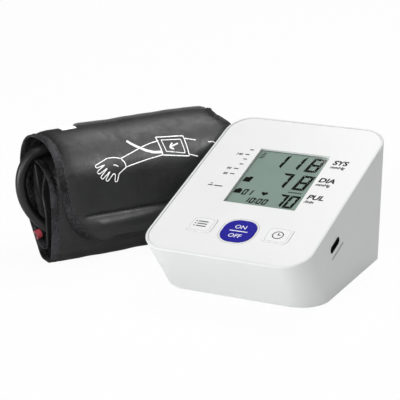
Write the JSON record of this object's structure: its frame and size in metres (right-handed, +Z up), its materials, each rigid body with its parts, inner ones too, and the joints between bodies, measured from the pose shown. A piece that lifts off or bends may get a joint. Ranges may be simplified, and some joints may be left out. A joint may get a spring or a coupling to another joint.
{
  "type": "talking blood pressure monitor",
  "caption": "Wedge-shaped desk monitor with a sloping display face and pressed keys, beside its rolled arm cuff with a looped air hose.",
  "frame": {"origin": "middle of the footprint of the monitor and the rolled cuff, on the table", "axes": "+X to the right as the display is read, +Y to the back, +Z up"},
  "size_m": [0.2274, 0.1636, 0.0816],
  "materials": {
    "casing": "satin",
    "face_panel": "smooth satin",
    "side_keys": "smooth satin",
    "start_key": "smooth satin",
    "window": "clear, glossy",
    "display": "satin",
    "backlight": "milky",
    "inner_plastic": "moulded",
    "socket_plastic": "moulded",
    "grey_rubber": "matt",
    "dark_rubber": "matt",
    "board": "lacquered",
    "chips": "moulded",
    "stems": "moulded",
    "steel": "plated",
    "cells": "printed sleeve",
    "magnets": "ferrite",
    "brass": "wound or turned",
    "paper": "pressed paper",
    "cloth": "coated weave",
    "bladder": "matt",
    "padding": "felt",
    "pile": "hook and loop",
    "label": "woven",
    "port": "moulded"
  },
  "bodies": {
    "monitor": {"top_housing": "casing", "bottom_cover": "casing", "face_plate": "face_panel", "display_window": "window", "display_glass": "display", "backlight_panel": "backlight", "display_holder": "inner_plastic", "pump_head": "inner_plastic", "pump_cap": "inner_plastic", "air_manifold": "inner_plastic", "air_socket": "socket_plastic", "contact_strip": "grey_rubber", "pump_diaphragm": "grey_rubber", "air_tubes": "grey_rubber", "pump_sleeve": "grey_rubber", "rubber_feet": "dark_rubber", "main_board": "board", "board_parts": "chips", "pressure_sensor": "chips", "key_switches": "chips", "usb_socket": "steel", "board_screws": "steel", "housing_screws": "steel", "motor_can": "steel", "valve_frame": "steel", "speaker_frame": "steel", "battery_contacts": "steel", "contact_leaves": "steel", "batteries": "cells", "motor_magnets": "magnets", "speaker_magnet": "magnets", "valve_coil": "brass"},
    "memory_button": {"memory_key": "side_keys", "memory_stem": "stems"},
    "start_button": {"start_key": "start_key", "start_stem": "stems"},
    "set_button": {"set_key": "side_keys", "set_stem": "stems"},
    "battery_cover": {"battery_door": "casing"},
    "pump_rotor": {"motor_shaft": "steel", "motor_rotor": "steel", "pump_crank": "brass"},
    "valve_core": {"valve_plunger": "steel"},
    "speaker_diaphragm": {"speaker_cone": "paper"},
    "cuff": {"cuff_outer_cloth": "cloth", "cuff_inner_cloth": "cloth", "cuff_hems": "cloth", "cuff_bladder": "bladder", "cuff_padding": "padding", "cuff_bar": "steel", "cuff_tail": "pile", "cuff_hook_patch": "pile", "cuff_loop_patch": "pile", "size_label": "label", "hose_port": "port", "air_hose": "dark_rubber", "air_plug": "port", "plug_seal": "dark_rubber"}
  },
  "joints": [
    {"name": "memory_press", "type": "slide", "parent": "monitor", "child": "memory_button", "axis": [0, 0.3206, -0.9472], "range_m": [0, 0.0005], "stiffness_N_per_m": 2500, "springref_m": -0.0002},
    {"name": "start_press", "type": "slide", "parent": "monitor", "child": "start_button", "axis": [0, 0.3206, -0.9472], "range_m": [0, 0.0005], "stiffness_N_per_m": 2500, "springref_m": -0.0002},
    {"name": "set_press", "type": "slide", "parent": "monitor", "child": "set_button", "axis": [0, 0.3206, -0.9472], "range_m": [0, 0.0005], "stiffness_N_per_m": 2500, "springref_m": -0.0002},
    {"name": "battery_door_slide", "type": "slide", "parent": "monitor", "child": "battery_cover", "axis": [0, 1, 0], "range_m": [0, 0.06]},
    {"name": "pump_spin", "type": "hinge", "parent": "monitor", "child": "pump_rotor", "pos_m": [0.05974, -0.03836, 0.0184], "axis": [1, 0, 0], "continuous": true},
    {"name": "valve_stroke", "type": "slide", "parent": "monitor", "child": "valve_core", "axis": [0, -1, 0], "range_m": [0, 0.0008], "stiffness_N_per_m": 150, "springref_m": -0.001},
    {"name": "speaker_stroke", "type": "slide", "parent": "monitor", "child": "speaker_diaphragm", "axis": [0, 0.9932, -0.1165], "range_m": [-0.0003, 0.0003], "stiffness_N_per_m": 800},
    {"name": "cuff_lift", "type": "slide", "parent": "monitor", "child": "cuff", "axis": [0, 0, 1], "range_m": [0, 0.12]}
  ]
}
